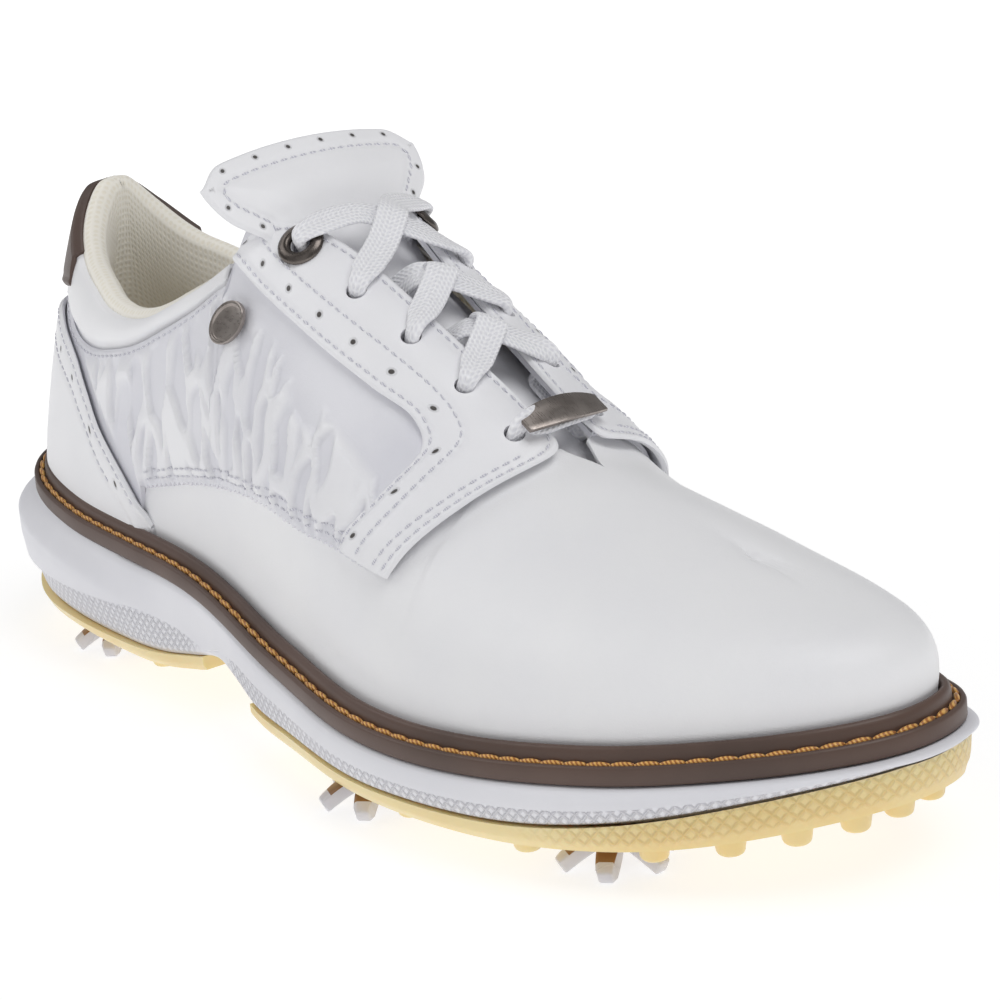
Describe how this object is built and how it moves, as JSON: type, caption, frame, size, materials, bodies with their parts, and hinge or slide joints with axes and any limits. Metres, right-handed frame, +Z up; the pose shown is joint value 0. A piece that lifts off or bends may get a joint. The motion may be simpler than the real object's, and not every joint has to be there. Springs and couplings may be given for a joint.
{
  "type": "golf shoe",
  "caption": "Right golf shoe with a welted leather upper, laced throat, folding tongue flap and a moulded sole with twist-in cleats",
  "frame": {"origin": "bottom centre of the bounding box, on the ground plane that the cleat tips stand on", "axes": "+X towards the toe, +Y towards the inner (medial) side of a right foot, +Z up"},
  "size_m": [0.3056, 0.101, 0.1363],
  "materials": {
    "white_leather": "smooth corrected-grain leather",
    "embossed_leather": "leather with an embossed relief",
    "brown_leather": "smooth leather",
    "lining_textile": "knitted mesh",
    "footbed_foam": "foam with a textile face",
    "board": "fibreboard",
    "welt_rubber": "moulded rubber",
    "thread": "waxed thread",
    "midsole_foam": "moulded foam",
    "outsole_tpu": "moulded thermoplastic polyurethane",
    "shank_steel": "spring steel",
    "dark_metal": "brushed",
    "lace_textile": "flat woven lace",
    "tip_plastic": "moulded film",
    "cleat_plastic": "moulded, two colours",
    "receptacle_nylon": "moulded nylon"
  },
  "bodies": {
    "shoe": {"midsole": "midsole_foam", "outsole_forefoot": "outsole_tpu", "outsole_heel": "outsole_tpu", "shank": "shank_steel", "insole_board": "board", "sockliner": "footbed_foam", "welt": "welt_rubber", "welt_stitching": "thread", "receptacle_heel_lateral": "receptacle_nylon", "receptacle_heel_medial": "receptacle_nylon", "receptacle_ball_lateral": "receptacle_nylon", "receptacle_ball_medial": "receptacle_nylon", "receptacle_toe_lateral": "receptacle_nylon", "receptacle_toe_medial": "receptacle_nylon", "vamp": "white_leather", "quarter_lateral": "embossed_leather", "quarter_medial": "embossed_leather", "facing_lateral": "white_leather", "facing_medial": "white_leather", "heel_overlay": "white_leather", "heel_counter": "board", "heel_tab": "brown_leather", "collar": "white_leather", "collar_foam": "footbed_foam", "toe_puff": "board", "lining": "lining_textile", "tongue_lower": "white_leather", "tongue_keeper": "white_leather", "lace": "lace_textile", "lace_tip_medial": "tip_plastic", "lace_tip_lateral": "tip_plastic", "eyelet_lateral": "dark_metal", "eyelet_medial": "dark_metal", "badge": "dark_metal", "lace_jewel": "dark_metal"},
    "cleat_heel_lateral": {"cleat_heel_lateral": "cleat_plastic"},
    "cleat_heel_medial": {"cleat_heel_medial": "cleat_plastic"},
    "cleat_ball_lateral": {"cleat_ball_lateral": "cleat_plastic"},
    "cleat_ball_medial": {"cleat_ball_medial": "cleat_plastic"},
    "cleat_toe_lateral": {"cleat_toe_lateral": "cleat_plastic"},
    "cleat_toe_medial": {"cleat_toe_medial": "cleat_plastic"},
    "tongue_flap": {"tongue_top": "white_leather"}
  },
  "joints": [
    {"name": "cleat_heel_lateral_twist", "type": "hinge", "parent": "shoe", "child": "cleat_heel_lateral", "pos_m": [-0.10553, -0.01528, 0.0084], "axis": [0, 0, 1], "range_deg": [0, 60]},
    {"name": "cleat_heel_medial_twist", "type": "hinge", "parent": "shoe", "child": "cleat_heel_medial", "pos_m": [-0.10553, 0.02572, 0.0084], "axis": [0, 0, 1], "range_deg": [0, 60]},
    {"name": "cleat_ball_lateral_twist", "type": "hinge", "parent": "shoe", "child": "cleat_ball_lateral", "pos_m": [0.03006, -0.03628, 0.0084], "axis": [0, 0, 1], "range_deg": [0, 60]},
    {"name": "cleat_ball_medial_twist", "type": "hinge", "parent": "shoe", "child": "cleat_ball_medial", "pos_m": [0.03006, 0.03472, 0.0084], "axis": [0, 0, 1], "range_deg": [0, 60]},
    {"name": "cleat_toe_lateral_twist", "type": "hinge", "parent": "shoe", "child": "cleat_toe_lateral", "pos_m": [0.09413, -0.02328, 0.0084], "axis": [0, 0, 1], "range_deg": [0, 60]},
    {"name": "cleat_toe_medial_twist", "type": "hinge", "parent": "shoe", "child": "cleat_toe_medial", "pos_m": [0.09413, 0.03072, 0.0084], "axis": [0, 0, 1], "range_deg": [0, 60]},
    {"name": "tongue_fold", "type": "hinge", "parent": "shoe", "child": "tongue_flap", "pos_m": [-0.01663, 0.00479, 0.11275], "axis": [0, 1, 0], "range_deg": [-12, 30]}
  ]
}
